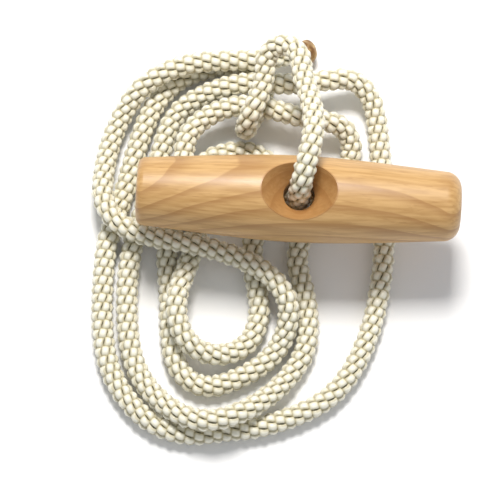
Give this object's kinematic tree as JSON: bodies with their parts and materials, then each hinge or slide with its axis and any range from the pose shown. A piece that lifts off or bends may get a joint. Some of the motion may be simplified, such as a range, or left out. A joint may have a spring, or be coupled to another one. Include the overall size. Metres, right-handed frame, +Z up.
{
  "type": "pull cord with toggle handle",
  "caption": "Turned wooden toggle handle on a braided white pull cord, laid as a loose hank with its free end heat-sealed, for pulling a switch, lever or starter.",
  "frame": {"origin": "centre of the turned handle, on the axis of its cross hole", "axes": "+X along the handle, +Z up out of the cross hole, +Y towards the top of the hank; the hank lies on a level surface 30.5 mm below the origin"},
  "size_m": [0.1257, 0.1452, 0.0525],
  "materials": {
    "beech": "satin",
    "braid": "satin",
    "core_yarn": "matte",
    "sealed_end": "satin"
  },
  "bodies": {
    "hank": {"cord_sheath": "braid", "cord_core": "core_yarn", "free_end_tip": "sealed_end", "stopper_knot": "braid", "knot_tail_tip": "sealed_end"},
    "toggle": {"handle": "beech"}
  },
  "joints": [
    {"name": "handle_swivel", "type": "hinge", "parent": "hank", "child": "toggle", "pos_m": [0, 0, 0], "axis": [0, 0, 1], "range_deg": [-20, 20]}
  ]
}
